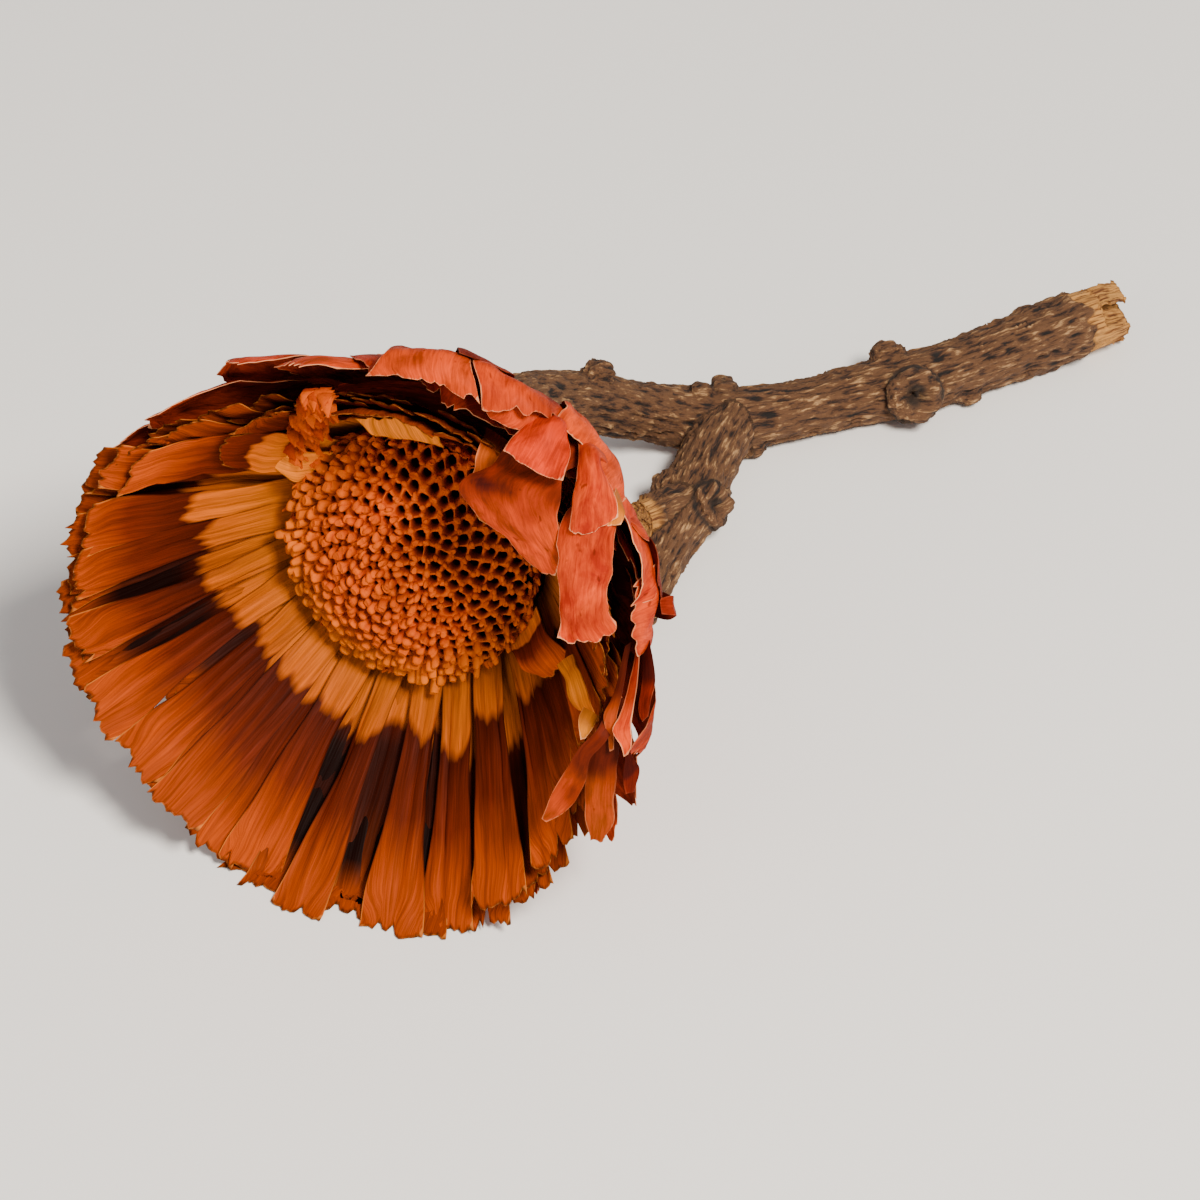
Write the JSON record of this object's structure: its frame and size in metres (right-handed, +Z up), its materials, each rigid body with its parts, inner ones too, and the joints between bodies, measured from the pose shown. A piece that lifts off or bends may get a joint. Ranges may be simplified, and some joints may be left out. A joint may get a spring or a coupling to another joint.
{
  "type": "dried banksia flower",
  "caption": "Open dried flower head, a shallow bowl of long ray bracts round a pitted domed disc with papery outer bracts folded over its rim, on its own forked cut branch, lying down",
  "frame": {"origin": "bottom centre of the box round the whole flower as it lies on a table", "axes": "X along the length from the head to the cut end, Y across, from the open face of the head to its back, Z up"},
  "size_m": [0.167, 0.1398, 0.0907],
  "materials": {
    "bark": "matte",
    "disc": "matte",
    "ray_bract": "matte",
    "outer_bract": "matte"
  },
  "bodies": {
    "root": {"branch": "bark", "receptacle": "disc", "ray_bracts": "ray_bract", "outer_bracts": "outer_bract"}
  },
  "joints": []
}
